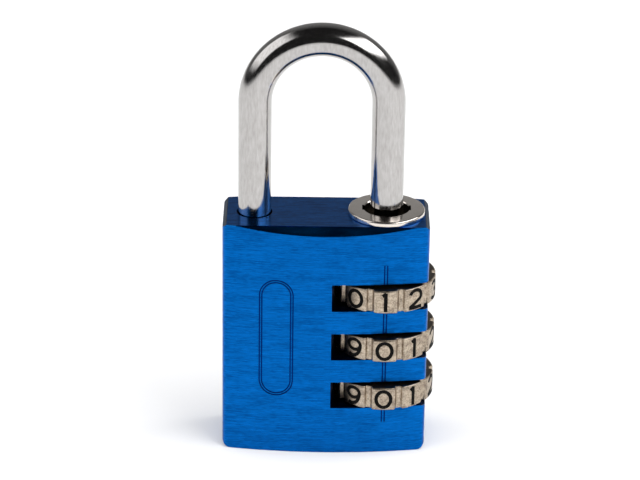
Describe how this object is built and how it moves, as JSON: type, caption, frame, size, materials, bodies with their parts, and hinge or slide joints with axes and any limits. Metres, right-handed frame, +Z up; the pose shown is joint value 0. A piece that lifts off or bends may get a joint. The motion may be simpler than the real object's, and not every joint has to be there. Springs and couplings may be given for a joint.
{
  "type": "combination padlock",
  "caption": "Small combination padlock: bulged anodised aluminium body, chrome shackle, and number wheels that show at the front and side.",
  "frame": {"origin": "middle of the casing's flat base", "axes": "+Z up towards the shackle, -Y the front face where the code is read, +X the side where the wheels stand out"},
  "size_m": [0.0312, 0.015, 0.065],
  "materials": {
    "anodised_case": "blue anodised over a horizontal brushed finish",
    "chrome_shackle": "polished chrome plating on steel",
    "nickel_collar": "polished nickel plating",
    "plated_wheel": "nickel plated, black filled figures on the pads",
    "brass_sleeve": "turned, bare",
    "spring_steel": "bare, lightly oiled"
  },
  "bodies": {
    "casing": {"casing": "anodised_case", "base_plug": "anodised_case", "collar": "nickel_collar", "top_spacer": "spring_steel", "detent_spring_1": "spring_steel", "spacer_1": "spring_steel", "detent_spring_2": "spring_steel", "spacer_2": "spring_steel", "detent_spring_3": "spring_steel", "spring_seat": "spring_steel", "reset_spring": "spring_steel"},
    "shackle": {"shackle": "chrome_shackle"},
    "wheel_1": {"number_wheel_1": "plated_wheel", "code_sleeve_1": "brass_sleeve"},
    "wheel_2": {"number_wheel_2": "plated_wheel", "code_sleeve_2": "brass_sleeve"},
    "wheel_3": {"number_wheel_3": "plated_wheel", "code_sleeve_3": "brass_sleeve"}
  },
  "joints": [
    {"name": "shackle_lift", "type": "slide", "parent": "casing", "child": "shackle", "axis": [0, 0, 1], "range_m": [0, 0.00783]},
    {"name": "wheel_1_turn", "type": "hinge", "parent": "casing", "child": "wheel_1", "pos_m": [0.00875, 0, 0.02499], "axis": [0, 0, 1], "continuous": true, "deforming": ["detent_spring_1"]},
    {"name": "wheel_2_turn", "type": "hinge", "parent": "casing", "child": "wheel_2", "pos_m": [0.00875, 0, 0.01716], "axis": [0, 0, 1], "continuous": true, "deforming": ["detent_spring_2"]},
    {"name": "wheel_3_turn", "type": "hinge", "parent": "casing", "child": "wheel_3", "pos_m": [0.00875, 0, 0.00932], "axis": [0, 0, 1], "continuous": true, "deforming": ["detent_spring_3"]}
  ]
}
